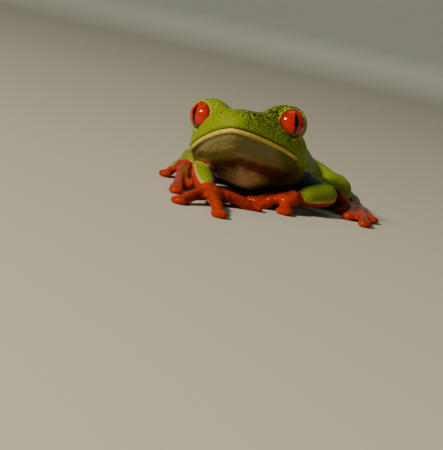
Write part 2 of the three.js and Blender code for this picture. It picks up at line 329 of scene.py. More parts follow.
@dataclass(frozen=True)
class Head:
    """The head's pose and proportions, in millimetres and degrees.

    Its own frame has its origin midway between the corners of the mouth, x to the frog's
    right, y ahead along the snout and z up through the crown.
    """

    yaw: float = 13.3
    pitch: float = 21.1
    roll: float = 8.0
    length: float = 14.8
    mouth_drop: float = 0.35
    mouth_end: float = 3.4
    eye_ahead: float = 5.25
    eye_height: float = 4.3
    gaze_out: float = 36.5
    gaze_down: float = 8.0

    def turn(self) -> Array:
        """Turns the head's frame to where the head looks.

        Returns:
            The head's axes, as the columns of a rotation matrix.
        """
        facing = Matrix.Rotation(math.pi - math.radians(self.yaw), 3, "Z")
        raised = Matrix.Rotation(math.radians(self.pitch), 3, "X")
        tilted = Matrix.Rotation(math.radians(self.roll), 3, "Y")
        return np.array(facing @ raised @ tilted)

    def origin(self) -> Array:
        """The point midway between the corners of the mouth, in metres."""
        between_eyes = (box_centre("eye_left") + box_centre("eye_right")) / 2
        return between_eyes - self.turn() @ np.array([0, self.eye_ahead, self.eye_height]) * MM

    def local(self, points: Array) -> Array:
        """Turns row-frame points in metres into the head's own frame in millimetres."""
        return (points - self.origin()) @ self.turn() / MM

    def placed(self, points: Array) -> Array:
        """Turns points in the head's own frame into row-frame points in metres."""
        return points @ self.turn().T * MM + self.origin()

    def gaze(self, side: Side) -> Array:
        """The unit direction of one eye's gaze, in the head's own frame.

        Args:
            side: Which eye.

        Returns:
            x, y, z.
        """
        out, down = math.radians(self.gaze_out), math.radians(self.gaze_down)
        level = math.cos(down)
        aside, ahead = side.value * math.sin(out), math.cos(out)
        return np.array([aside * level, ahead * level, -math.sin(down)])

    def mouth_height(self, y: Array) -> Array:
        """Height of the mouth line at y millimetres ahead, which droops towards its corners."""
        back = np.clip((self.length - y) / self.length, 0, 1.15)
        return -self.mouth_drop * back**3

    def has_mouth(self, local: Array, fade: float = 1.4) -> Array:
        """1 along the mouth, which fades to 0 behind its corners over fade millimetres."""
        start = self.mouth_end - 0.8
        return ease(local[:, 1], start, start + fade)


HEAD = Head()


# ---- where the colours lie


@dataclass(frozen=True)
class Band:
    """The green band along one limb segment.

    The band faces a given way and covers half_angle degrees to each side of it. Its edge is
    cream on the side that pale_edge points to, and blue-green on the other. It stops short of
    the segment's far end by clear_end millimetres.
    """

    node: str
    towards: str
    facing: Triple
    half_angle: float
    pale_edge: Triple
    clear_end: float = -1.0


def limb_bands() -> list[Band]:
    """The green bands of both arms and both legs.

    Returns:
        One band for each limb segment that has green on it.
    """
    bands = []
    for side, out in (("left", 1.0), ("right", -1.0)):
        outer, lower = (out, 0.0, -0.2), (0.5 * out, -1.0, -0.3)
        bands += [
            Band(f"upper_arm_{side}", f"forearm_{side}", (0.6 * out, 0.3, 0.9), 66, lower),
            Band(f"thigh_{side}", f"shank_{side}", (0.2 * out, 0.0, 1.0), 52, outer),
            Band(f"shank_{side}", f"tarsus_{side}", (out, 0.0, 1.1), 78, outer),
            Band(f"tarsus_{side}", f"foot_{side}", (out, 0.0, 1.0), 66, outer),
            Band(f"foot_{side}", f"toe_{side}_5", (out, 0.0, 1.0), 40, outer),
            Band(f"toe_{side}_5", f"foot_{side}", (0.3 * out, 0.5, 1.0), 30, outer, 3.4),
        ]
    bands.append(Band("forearm_left", "hand_left", (0.2, -0.4, 1.0), 82, (0.0, -1.0, -0.4)))
    bands.append(Band("forearm_right", "hand_right", (-0.25, 0.0, 1.0), 36, (-1.0, 0.0, 0.0)))
    return bands


# ---- the skin


@dataclass(frozen=True)
class Lid:
    """One fleshy ring of an eye's lids, in degrees off the gaze and in millimetres."""

    angle: float
    thick: float
    lift: float


@dataclass(frozen=True)
class Fold:
    """One rounded ridge, or a furrow where its rise is below zero, in millimetres."""

    rise: float
    half_width: float
    middle: float = 0.0

    def at(self, distance: Array) -> Array:
        """How far each point moves outward, by a distance that is zero where middle is."""
        return self.rise * bump(distance - self.middle, self.half_width)


@dataclass(frozen=True)
class Face:
    """The small forms of the head, in its own frame and in millimetres.

    Each form's place is on the frog's right, and both sides have it.
    """

    groove: Fold = Fold(-0.2, 0.15)
    upper_lip: Fold = Fold(0.06, 0.25, 0.35)
    lower_lip: Fold = Fold(0.14, 0.28, -0.42)
    under_lip: Fold = Fold(-0.1, 0.22, -0.95)
    nostril: Triple = (2.35, 12.3, 2.7)
    nostril_rim: Fold = Fold(0.1, 0.22, 0.45)
    nostril_pit: Fold = Fold(-0.35, 0.26)
    # How far round each nostril the painted shade of its pit reaches, in millimetres.
    nostril_shade_reach: float = 0.42
    ear: Triple = (6.0, 0.3, 2.3)
    ear_rim: Fold = Fold(0.1, 0.2, 1.15)
    ear_dip: Fold = Fold(-0.08, 0.22, 0.85)
    ear_fold_middle: Pair = (0.4, 2.1)
    ear_fold: Fold = Fold(0.12, 0.25, 1.75)
    ear_upright: float = 1.1
    ridge: tuple[Triple, ...] = ((4.2, 8.6, 4.0), (2.7, 11.8, 3.1))
    ridge_swell: Fold = Fold(0.16, 0.7)
    hollow: Triple = (5.2, 8.8, 1.9)
    hollow_stretch: Triple = (0.7, 0.45, 1.0)
    hollow_dip: Fold = Fold(-0.16, 0.9)
    crease_height: float = -2.85
    crease_bow: float = 0.024
    sac_swell: Fold = Fold(0.14, 0.45, 0.5)
    sac_crease: Fold = Fold(-0.2, 0.28)
    neck_back: float = -2.5
    neck_slant: float = 0.12
    neck_crease: Fold = Fold(-0.3, 0.32)

    def over_mouth(self, local: Array) -> Array:
        """Height over the mouth line, in millimetres."""
        return local[:, 2] - HEAD.mouth_height(local[:, 1])

    def above_crease(self, local: Array) -> Array:
        """Height over the fold across the throat, in millimetres."""
        return local[:, 2] - self.crease_height - self.crease_bow * local[:, 0] ** 2

    def off_nostril(self, local: Array) -> Array:
        """Distance from the nearer nostril, in millimetres."""
        aside = np.abs(local[:, 0])
        return np.linalg.norm(np.column_stack([aside, local[:, 1:]]) - self.nostril, axis=1)

    def raised(self, local: Array) -> Array:
        """How far the forms of the head itself move each point outward, in millimetres."""
        return self._mouth(local) + self._small_forms(local) + self._throat(local)

    def _mouth(self, local: Array) -> Array:
        """The closed mouth: a fine groove with a full lower lip under it."""
        lines = (self.groove, self.upper_lip, self.lower_lip, self.under_lip)
        return HEAD.has_mouth(local) * sum(line.at(self.over_mouth(local)) for line in lines)

    def _small_forms(self, local: Array) -> Array:
        """Nostrils, ear discs, the fold over them and the ridge from eye to nostril.

        Args:
            local: Points in the head's own frame.

        Returns:
            How far each point moves outward.
        """
        side_on = local.copy()
        side_on[:, 0] = np.abs(side_on[:, 0])
        x, y, z = side_on.T
        nostril = self.off_nostril(local)
        moved = self.nostril_rim.at(nostril) + self.nostril_pit.at(nostril)
        out, along, up = self.ear
        ear = np.sqrt((y - along) ** 2 + ((z - up) * self.ear_upright) ** 2)
        ear = ear + 3 * ease(out - x, 0, 1)
        moved += self.ear_rim.at(ear) + self.ear_dip.at(ear)
        along, up = self.ear_fold_middle
        fold = np.hypot(y - along, (z - up) * self.ear_upright)
        moved += self.ear_fold.at(fold) * ease(z, 2.2, 3.4) * ease(x, 5.5, 6.5)
        start, run = np.array(self.ridge[0]), np.subtract(self.ridge[1], self.ridge[0])
        share = np.clip((side_on - start) @ run / (run @ run), 0, 1)
        beside = np.linalg.norm(side_on - start - share[:, None] * run, axis=1)
        moved += self.ridge_swell.at(beside)
        hollow = np.linalg.norm((side_on - self.hollow) * self.hollow_stretch, axis=1)
        return moved + self.hollow_dip.at(hollow)

    def _throat(self, local: Array) -> Array:
        """The fold across the throat, over the slack vocal sac."""
        lines = sum(line.at(self.above_crease(local)) for line in (self.sac_swell, self.sac_crease))
        return ease(np.abs(local[:, 0]), 7.6, 5.5) * ease(local[:, 2], -0.9, -1.5) * lines

    def neck_fold(self, local: Array) -> Array:
        """The crease behind the corner of the jaw, where the head meets the shoulder.

        Args:
            local: Points in the head's own frame.

        Returns:
            How far each point moves outward.
        """
        line = local[:, 1] - self.neck_back - self.neck_slant * local[:, 2]
        present = ease(np.abs(local[:, 0]), 5.0, 6.5) * ease(local[:, 2], 4.5, 3.0)
        return self.neck_crease.at(line) * present


@dataclass(frozen=True)
class Borders:
    """Where the trunk's colours end, in degrees round it from above and in millimetres.

    Lengths along the trunk are counted back from the middle of the head.
    """

    green_edge: float = 98.0
    rump_extra: float = 13.0
    rump_run: Pair = (20.0, 14.0)
    flank_middle: float = 108.0
    flank_half: float = 3.4
    flank_run: Pair = (6.5, 28.0)
    bar_spacing: float = 3.4
    bar_slant: float = 0.25
    between_bars: float = 1.25

    def green(self, around: Array, radius: Array, back: Array) -> Array:
        """How far inside the green each point of the trunk lies."""
        edge = self.green_edge - self.rump_extra * ease(back, *self.rump_run)
        return radius * np.radians(edge - around)

    def flank(self, around: Array, radius: Array, back: Array) -> Array:
        """How far inside the blue flank each point of the trunk lies."""
        inside = self.flank_half - np.abs(radius * np.radians(around - self.flank_middle))
        return np.minimum(inside, np.minimum(back - self.flank_run[0], self.flank_run[1] - back))

    def bars(self, back: Array, height: Array) -> Array:
        """How far inside the nearest slanting cream bar each point lies."""
        step = (back + self.bar_slant * height) % self.bar_spacing
        return np.abs(step - self.bar_spacing / 2) - self.between_bars


@dataclass
class Skin:
    """One skin over the head, trunk, limbs and digits, with its folds, lids and markings.

    Lengths are in millimetres, and angles in degrees off an eye's gaze.
    """

    name: str = "skin"
    grain: float = 0.19
    closing: float = 0.3
    broad_passes: int = 60
    head_passes: int = 26
    fine_passes: int = 7
    crown_passes: int = 400
    valley: Pair = (3.0, 2.1)
    most_triangles: int = 190000
    ball_radius: float = 2.4
    cover: float = 0.35
    socket_reach: Triple = (-0.05, 0.3, 1.1)
    socket_ends: Pair = (125.0, 95.0)
    hood_starts: Pair = (62.0, 72.0)
    lids: tuple[Lid, ...] = (Lid(64.0, 0.17, 0.07), Lid(76.0, 0.24, 0.12))
    lid_passes: int = 4
    fullness: float = 0.02
    digit_fullness: float = 0.06
    weight_levels: int = 20
    face: Face = Face()
    borders: Borders = Borders()
    nodes: list[str] = field(default_factory=list)
    obj: Object | None = None
    owner: Array | None = None

    def build(self) -> Object:
        """Makes the whole skin.

        Returns:
            The finished piece.
        """
        self.nodes = sorted(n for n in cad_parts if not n.startswith("eye_"))
        self._gather()
        apply_modifier(self.obj, "DISPLACE", strength=self.closing * MM, mid_level=0.0)
        self._wrap()
        self._find_owners()
        self._round_off()
        self._draw_sockets()
        self._add_lids()
        self._find_owners()
        self._sculpt()
        self._thin_out()
        self._find_owners()
        self._mark()
        self.obj.data.materials.clear()
        self.obj.data.materials.append(SkinFinish().material())
        choose(self.obj)
        bpy.ops.object.shade_smooth()
        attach(self.obj, "root")
        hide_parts(*self.nodes)
        return self.obj

    def _gather(self) -> None:
        """Copies the flesh nodes into one object and merges their loose triangles."""
        choose(*[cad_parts[n] for n in self.nodes])
        bpy.ops.object.duplicate()
        copies = list(bpy.context.selected_objects)
        for copy in copies:
            copy.parent = None
            copy.matrix_world = Matrix.Identity(4)
        choose(*copies)
        bpy.ops.object.join()
        self.obj = bpy.context.view_layer.objects.active
        bpy.ops.object.mode_set(mode="EDIT")
        bpy.ops.mesh.select_all(action="SELECT")
        bpy.ops.mesh.remove_doubles(threshold=0.002 * MM)
        bpy.ops.object.mode_set(mode="OBJECT")

    def _wrap(self) -> None:
        """Takes one surface round everything so far, without stray islands inside it."""
        apply_modifier(self.obj, "REMESH", mode="VOXEL", voxel_size=self.grain * MM)
        bpy.ops.object.mode_set(mode="EDIT")
        bpy.ops.mesh.select_all(action="SELECT")
        bpy.ops.mesh.separate(type="LOOSE")
        bpy.ops.object.mode_set(mode="OBJECT")
        parts = sorted(bpy.context.selected_objects, key=lambda o: -len(o.data.vertices))
        log.info("%s: %d loose parts", self.name, len(parts))
        self.obj = parts[0]
        self.obj.name = self.obj.data.name = self.name
        for part in parts[1:]:
            bpy.data.objects.remove(part)

    def _find_owners(self) -> None:
        """Notes the nearest flesh node of each point of the skin."""
        points, faces, numbers = [], [], []
        for number, node in enumerate(self.nodes):
            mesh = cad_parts[node].data
            mesh.calc_loop_triangles()
            start = len(points)
            points += [v.co.copy() for v in mesh.vertices]
            for triangle in mesh.loop_triangles:
                faces.append([start + v for v in triangle.vertices])
                numbers.append(number)
        tree = BVHTree.FromPolygons(points, faces)
        self.owner = np.array([numbers[tree.find_nearest(v.co)[2]] for v in self.obj.data.vertices])

    def _of(self, *names: str) -> Array:
        """Marks the points whose nearest node's name starts with one of these words."""
        wanted = [i for i, n in enumerate(self.nodes) if n.startswith(names)]
        return np.isin(self.owner, wanted).astype(float)

    def _smooth(self, passes: int, weights: Array | None = None) -> None:
        """Evens out the surface.

        Args:
            passes: How often each point moves half-way to its neighbours' middle.
            weights: How much of that each point takes, from 0 to 1, or None for all of it.
        """
        settings = {"factor": 0.5, "iterations": passes}
        if weights is not None:
            group = self.obj.vertex_groups.new(name="weights")
            steps = np.round(weights * self.weight_levels).astype(int)
            for step in range(1, self.weight_levels + 1):
                members = np.nonzero(steps == step)[0].tolist()
                if members:
                    group.add(members, step / self.weight_levels, "REPLACE")
            settings["vertex_group"] = group.name
        apply_modifier(self.obj, "SMOOTH", **settings)

    def _round_off(self) -> None:
        """Evens out the facets, most on the trunk and least on the digits, and thins it back."""
        near = Neighbours(self.obj.data)
        digits = near.even(self._of("finger", "toe", "hand", "foot"), 6)
        head = near.even(self._of("head", "jaw"), 6)
        crown = head * self._beside_crown()
        self._smooth(self.broad_passes, np.clip(1 - digits - head, 0, 1))
        self._smooth(self.head_passes, head)
        self._smooth(self.crown_passes, crown)
        self._smooth(self.fine_passes)
        self.obj.vertex_groups.clear()
        mesh = self.obj.data
        depth = self.closing - self.fullness - self.digit_fullness * digits
        inward = normals(mesh) * (depth * MM)[:, None]
        move_corners(mesh, corners(mesh) - inward)

    def _beside_crown(self) -> Array:
        """How near each point is to the two shallow valleys between crown and eyes.

        Returns:
            Numbers from 0, away from them, to 1.
        """
        local = HEAD.local(corners(self.obj.data))
        x, y, z = local.T
        clear = np.ones(len(local))
        for side in Side:
            reach = np.linalg.norm(local - self._eye_centre(side), axis=1)
            clear *= ease(reach, self.ball_radius + 0.2, self.ball_radius + 1.5)
        lengthwise = ease(y, -2, 0) * ease(y, 12.5, 10.5)
        aside, half_width = self.valley
        return bump(np.abs(x) - aside, half_width) * ease(z, 2.2, 3.2) * lengthwise * clear

    def _draw_sockets(self) -> None:
        """Draws both sockets onto their eyeballs, and keeps the flesh behind the lids over them."""
        mesh = self.obj.data
        local = HEAD.local(corners(mesh))
        outward = unit(normals(mesh) @ HEAD.turn())
        inner, socket, outer = (self.ball_radius + more for more in self.socket_reach)
        for side in Side:
            arm, reach, angle = self._off_gaze(local, side)
            drawn = inner + (reach - socket) * (outer - inner) / (outer - socket)
            drawn = np.where(reach < socket, inner, np.where(reach < outer, drawn, reach))
            drawn = reach + (drawn - reach) * ease(angle, *self.socket_ends)
            drawn = np.where(reach < socket, np.minimum(reach, inner), drawn)
            away = np.sum(outward * arm, axis=1) / np.maximum(reach, 1e-9)
            shell = ease(away, 0.0, 0.4) * ease(angle, *self.hood_starts)
            drawn += np.maximum(self.ball_radius + self.cover - drawn, 0) * shell
            local = self._eye_centre(side) + arm * (drawn / np.maximum(reach, 1e-9))[:, None]
        move_corners(mesh, HEAD.placed(local))

    def _add_lids(self) -> None:
        """Adds rounded lids round both eyes and makes one surface of all of it again."""
        rings = []
        for side in Side:
            gaze = HEAD.gaze(side)
            centre = self._eye_centre(side)
            facing = Vector(HEAD.turn() @ gaze).to_track_quat("Z", "Y")
            for lid in self.lids:
                reach = self.ball_radius + lid.lift
                angle = math.radians(lid.angle)
                bpy.ops.mesh.primitive_torus_add(
                    major_radius=reach * math.sin(angle) * MM,
                    minor_radius=lid.thick * MM,
                    major_segments=64,
                    minor_segments=16,
                    location=HEAD.placed(centre + gaze * reach * math.cos(angle)),
                    rotation=facing.to_euler(),
                )
                rings.append(bpy.context.view_layer.objects.active)
        choose(self.obj, *rings)
        bpy.ops.object.join()
        self._wrap()
        self._smooth(self.lid_passes)

    def _eye_centre(self, side: Side) -> Array:
        """The middle of one eyeball, in the head's own frame."""
        return HEAD.local(box_centre(f"eye_{side.name.lower()}")[None])[0]

    def _off_gaze(self, local: Array, side: Side) -> tuple[Array, Array, Array]:
        """Where points lie from the middle of one eyeball.

        Args:
            local: Points in the head's own frame.
            side: Which eye.

        Returns:
            The arms to the points, the arms' lengths, and their degrees off the gaze.
        """
        arm = local - self._eye_centre(side)
        reach = np.linalg.norm(arm, axis=1)
        ahead = arm @ HEAD.gaze(side) / np.maximum(reach, 1e-9)
        return arm, reach, np.degrees(np.arccos(np.clip(ahead, -1, 1)))

    def _sculpt(self) -> None:
        """Moves points to make the mouth, nostrils, ear discs, folds and granules."""
        mesh = self.obj.data
        near = Neighbours(mesh)
        outward = unit(normals(mesh) @ HEAD.turn())
        local = HEAD.local(corners(mesh))
        on_head = near.even(self._of("head", "jaw"), 3)
        raised = self.face.raised(local) * on_head
        raised += self.face.neck_fold(local) * near.even(self._of("head", "jaw", "trunk"), 4)
        points = HEAD.placed(local + outward * raised[:, None])
        points[points[:, 2] < 0.02 * MM, 2] = 0.0
        move_corners(mesh, points)

    def _thin_out(self) -> None:
        """Brings the skin under its triangle budget where it is flattest."""
        apply_modifier(self.obj, "TRIANGULATE")
        have = len(self.obj.data.polygons)
        if have > self.most_triangles:
            apply_modifier(self.obj, "DECIMATE", ratio=self.most_triangles / have)
        log.info("%s: %d triangles of %d kept", self.name, len(self.obj.data.polygons), have)

    def _mark(self) -> None:
        """Stores where the colours lie, as smooth distances in millimetres."""
        mesh = self.obj.data
        points = corners(mesh)
        near = Neighbours(mesh)
        local = HEAD.local(points)
        over = self.face.over_mouth(local)
        head = self._of("head", "jaw")
        trunk = self._of("trunk") > 0
        behind = ease(local[:, 1], HEAD.mouth_end + 0.3, HEAD.mouth_end - 1.0)
        around, radius = self._around("trunk", "head", (0, 0, 1), points)[:2]
        back = (points[:, 1] - box_centre("head")[1]) / MM
        green = np.where(trunk, self.borders.green(around, radius, back), NOWHERE)
        pale = np.where(trunk, 1.0, 0.0)
        for band in limb_bands():
            here = self._of(band.node) > 0
            turned, thick, arm, along = self._around(band.node, band.towards, band.facing, points)
            wide = thick * np.radians(band.half_angle - turned)
            green = np.where(here, np.minimum(wide, along - band.clear_end), green)
            pale = np.where(here, ease(arm @ unit(np.array(band.pale_edge)), -0.2, 0.2), pale)
        green = np.where(head > 0, over + 0.75 * behind, green)
        pale = near.even(pale, 6)
        evened = near.even(green, 12)
        in_front = ease(local[:, 1], -1.4, 0.4) * head
        green = evened + (green - evened) * in_front
        cream = np.where(self._of("head", "jaw", "trunk") > 0, -NOWHERE, NOWHERE)
        flank = np.where(trunk, self.borders.flank(around, radius, back), NOWHERE)
        flank = np.where(self._of("upper_arm") > 0, 2.0, flank)
        bars = np.minimum(flank, self.borders.bars(back, points[:, 2] / MM))
        lid, by_eye = self._lid_field(local)
        aside = np.abs(local[:, 0])
        marks = {
            "green_mm": green,
            "pale_edge": pale * (1 - head),
            "blue_edge": (1 - pale) * (1 - head),
            "over_mm": over,
            "lips": HEAD.has_mouth(local, 3.0) * head,
            "face": in_front,
            "cream_mm": near.even(cream, 12),
            "flank_mm": near.even(flank, 8),
            "bars_mm": near.even(np.where(trunk, bars, NOWHERE), 4),
            "digit": near.even(self._of("finger", "toe", "hand", "foot"), 10),
            "crease_mm": self.face.above_crease(local),
            "corner_mm": aside - 5.4 + 0.5 * over,
            "midst": in_front * ease(aside, 4.2, 2.4),
            # Painted shade round each nostril's pit, above zero within its reach.
            "nostril_shade_mm": self.face.nostril_shade_reach - self.face.off_nostril(local),
            # Painted shade: 1 over the front of the head on the frog's left, away from the key
            # light; it deepens the pits and crowds the speckles there.
            "shade_side": head * ease(local[:, 0], 2.6, -2.6) * ease(local[:, 1], 3.5, 6.5),
            "lid_mm": lid,
            "by_eye": by_eye,
        }
        for name, values in marks.items():
            paint(mesh, name, values)

    def _lid_field(self, local: Array) -> tuple[Array, Array]:
        """How far outside the edge of the nearer eye's lids each point lies.

        Args:
            local: Points in the head's own frame.

        Returns:
            Millimetres along the eyeball, and 1 by the eyeball falling to 0 away from it.
        """
        outside, close = np.zeros(len(local)), np.zeros(len(local))
        for side in Side:
            _, reach, angle = self._off_gaze(local, side)
            past = self.ball_radius * np.radians(angle - self.lids[0].angle)
            by = ease(reach, self.ball_radius + 0.6, self.ball_radius + 0.4)
            here = local[:, 0] * side.value > 0
            outside, close = np.where(here, past, outside), np.where(here, by, close)
        return outside, close

    def _around(
        self, node: str, towards: str, facing: Triple, points: Array
    ) -> tuple[Array, Array, Array, Array]:
        """Angle and distance of points round one segment's own axis.

        Args:
            node: The segment's node.
            towards: The node that its axis points to.
            facing: The direction from which the angle is counted.
            points: Points in metres.

        Returns:
            Degrees from the facing direction, millimetres from the axis, the unit directions
            away from the axis, and millimetres along it from the end that is further from
            towards.
        """
        bones = corners(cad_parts[node].data)
        middle = bones.mean(axis=0)
        axis = np.linalg.svd(bones - middle, full_matrices=False)[2][0]
        if axis @ (box_centre(towards) - middle) < 0:
            axis = -axis
        ahead = np.array(facing, float)
        ahead = unit(ahead - axis * (ahead @ axis))
        along = ((points - middle) @ axis - ((bones - middle) @ axis).min()) / MM
        arm = points - middle
        arm = arm - np.outer(arm @ axis, axis)
        radius = np.linalg.norm(arm, axis=1)
        arm = unit(arm)
        turned = np.degrees(np.arccos(np.clip(arm @ ahead, -1, 1)))
        return turned, radius / MM, arm, along


# ---- the skin's finish


@dataclass(frozen=True)
class Layer:
    """One colour laid over those before it, where its stored distance is above zero.

    A stripe lies within half a width of its middle instead. All lengths are in millimetres.
    """

    mark: str
    colour: str
    soft: float
    wander: float = 0.0
    middle: float | None = None
    half: float = 0.0
    within: str | None = None


@dataclass(frozen=True)
class SkinFinish:
    """Living amphibian skin: moist and finely granular above, smooth and wet on the digits.

    The colours lie in smooth-edged layers, so each border wanders a little as on the frog.
    """

    orange: str = "#a82d03"
    orange_deep: str = "#701803"
    layers: tuple[Layer, ...] = (
        # The pale underside's cream, darkened to tan: its own colour with painted shade under the
        # chin and belly.
        Layer("cream_mm", "#97793f", 0.9, 0.3),
        # Painted shade: the throat above its fold, darkened to olive.
        Layer("crease_mm", "#7e7645", 0.5, 0.3, within="face"),
        Layer("corner_mm", "#565a12", 1.6, 0.5, within="face"),
        # A painted highlight along the upper edge of the throat's fold.
        Layer("crease_mm", "#95864a", 0.3, 0.2, 0.2, 0.07, "midst"),
        # Painted shade in and under the throat's fold.
        Layer("crease_mm", "#5e360a", 0.4, 0.3, -0.5, 0.4, "face"),
        # A painted pool of light on the slack sac below the fold.
        Layer("crease_mm", "#d2b27c", 0.7, 0.5, -1.3, 0.4, "midst"),
        Layer("flank_mm", "#4a6c8c", 0.5, 0.3),
        Layer("bars_mm", "#b09a48", 0.4, 0.3),
        Layer("green_mm", "#4c8078", 0.3, 0.1, -0.2, 0.25, "blue_edge"),
        Layer("green_mm", "#b5a459", 0.3, 0.1, -0.15, 0.25, "pale_edge"),
        Layer("green_mm", "#7c900b", 0.3, 0.12),
        Layer("over_mm", "#d0bd50", 0.14, 0.05, -0.36, 0.3, "lips"),
        Layer("over_mm", "#241a06", 0.1, 0.0, 0.0, 0.09, "lips"),
        # Painted shade round the nostrils.
        Layer("nostril_shade_mm", "#27300c", 0.3, 0.05),
        Layer("lid_mm", "#aeae3c", 0.1, 0.0, -0.06, 0.07, "by_eye"),
    )
    # Painted highlights on the granule tops.
    granule: str = "#b4b83c"
    granule_spacing: float = 0.31
    granule_span: Pair = (0.34, 0.05)
    granule_most: float = 0.6
    granule_height: float = 0.18
    # Painted shade in the pits between granules, deepest on the head's shaded side.
    pit: str = "#33500a"
    pit_span: Pair = (0.4, 0.62)
    pit_most: Pair = (0.06, 0.3)
    speckle: str = "#263208"
    speckle_spacing: float = 0.45
    speckle_span: Pair = (-0.34, -0.52)
    speckle_most: float = 0.85
    # How much more the speckles crowd on the head's shaded side, where the pits' painted shade is
    # deepest.
    speckle_shade_side: float = 0.33
    speckle_patchy: float = -0.9
    roughness: Pair = (0.38, 0.16)

    def material(self) -> Material:
        """Builds the finish.

        Returns:
            The material.
        """
        made = bare_material("moist granular amphibian skin")
        place = add_node(made, "TexCoord", {}).outputs["Object"]
        wander = noise(made, place, 0.9 * PER_METRE, 3.0)
        patch = noise(made, place, 0.35 * PER_METRE, 4.0)
        links = {"Vector": place, "Scale": PER_METRE / self.granule_spacing, "Smoothness": 0.5}
        grains = add_node(made, "TexVoronoi", links, feature="SMOOTH_F1").outputs["Distance"]
        patchy = ramp(made, patch, (0.45, 0.8))
        colour = blend(made, patchy, linear(self.orange), linear(self.orange_deep))
        for layer in self.layers:
            colour = self._laid(made, layer, colour, wander)
            if layer.mark == "green_mm" and layer.middle is None:
                colour = self._speckled(made, place, patch, grains, colour)
        rough = ramp(made, stored(made, "digit"), ends=self.roughness, kind="LINEAR")
        return shaded(
            made,
            {
                "Base Color": colour,
                "Roughness": rough,
                "IOR": 1.4,
                "Subsurface Weight": 0.1,
                "Subsurface Radius": (1.0, 0.35, 0.15),
                "Subsurface Scale": 0.5 * MM,
                "Specular IOR Level": 0.2,
                "Normal": self._granules(made, place, grains),
            },
        )

    def _laid(
        self, made: Material, layer: Layer, under: Socket, wander: Socket
    ) -> Socket:
        """Lays one layer over the colours so far.

        Args:
            made: The material.
            layer: The layer.
            under: The colours so far.
            wander: Noise that the layer's border wanders by.

        Returns:
            The colours with the layer on them.
        """
        mark = stored(made, layer.mark)
        if layer.middle is not None:
            apart = maths(made, "ABSOLUTE", maths(made, "SUBTRACT", mark, layer.middle))
            mark = maths(made, "SUBTRACT", layer.half, apart)
        moved = maths(made, "MULTIPLY_ADD", wander, layer.wander * 2, mark)
        low = layer.wander - layer.soft / 2
        share = ramp(made, moved, (low, low + layer.soft))
        if layer.within:
            share = maths(made, "MULTIPLY", share, stored(made, layer.within))
        return blend(made, share, under, linear(layer.colour))

    def _speckled(
        self,
        made: Material,
        place: Socket,
        patch: Socket,
        grains: Socket,
        under: Socket,
    ) -> Socket:
        """Scatters painted highlights on the granule tops, painted shade in the pits and fine dark
        speckles over the green.

        Args:
            made: The material.
            place: Where each point lies.
            patch: Noise that crowds and thins the speckles.
            grains: Distance from the nearest granule's middle.
            under: The colours so far.

        Returns:
            The colours with the speckles on them.
        """
        # Painted highlights on the granule tops.
        tops = ramp(made, grains, self.granule_span, (0.0, self.granule_most))
        links = {"Vector": place, "Scale": PER_METRE / self.speckle_spacing}
        cells = add_node(made, "TexVoronoi", links, feature="F1").outputs["Distance"]
        shade_side = stored(made, "shade_side")
        many = maths(made, "MULTIPLY_ADD", shade_side, self.speckle_shade_side, patch)
        dense = maths(made, "MULTIPLY_ADD", many, self.speckle_patchy, cells)
        dots = ramp(made, dense, self.speckle_span, (0.0, self.speckle_most))
        # Painted shade in the pits, deepest on the head's shaded side.
        deep = ramp(made, shade_side, ends=self.pit_most, kind="LINEAR")
        pits = ramp(made, grains, self.pit_span, (0.0, deep))
        green = stored(made, "green_mm")
        for share, colour in ((tops, self.granule), (pits, self.pit), (dots, self.speckle)):
            on_green = maths(made, "MULTIPLY", green, share, clamp=True)
            under = blend(made, on_green, under, linear(colour))
        return under

    def _granules(self, made: Material, place: Socket, grains: Socket) -> Socket:
        """Fine rounded granules on the green, which give way to soft wet creases elsewhere.

        Args:
            made: The material.
            place: Where each point lies.
            grains: Distance from the nearest granule's middle.

        Returns:
            The surface's direction.
        """
        tops = ramp(made, grains, ends=(1.0, 0.0), kind="LINEAR")
        creases = noise(made, place, 1.6 * PER_METRE, 2.0)
        rough = ramp(made, stored(made, "green_mm"), (-0.4, 0.4), kind="LINEAR")
        height = add_node(made, "Mix", {0: rough, 2: creases, 3: tops}).outputs[0]
        links = {"Height": height, "Strength": 0.9, "Distance": self.granule_height * MM}
        return add_node(made, "Bump", links).outputs["Normal"]


# ---- the eyes


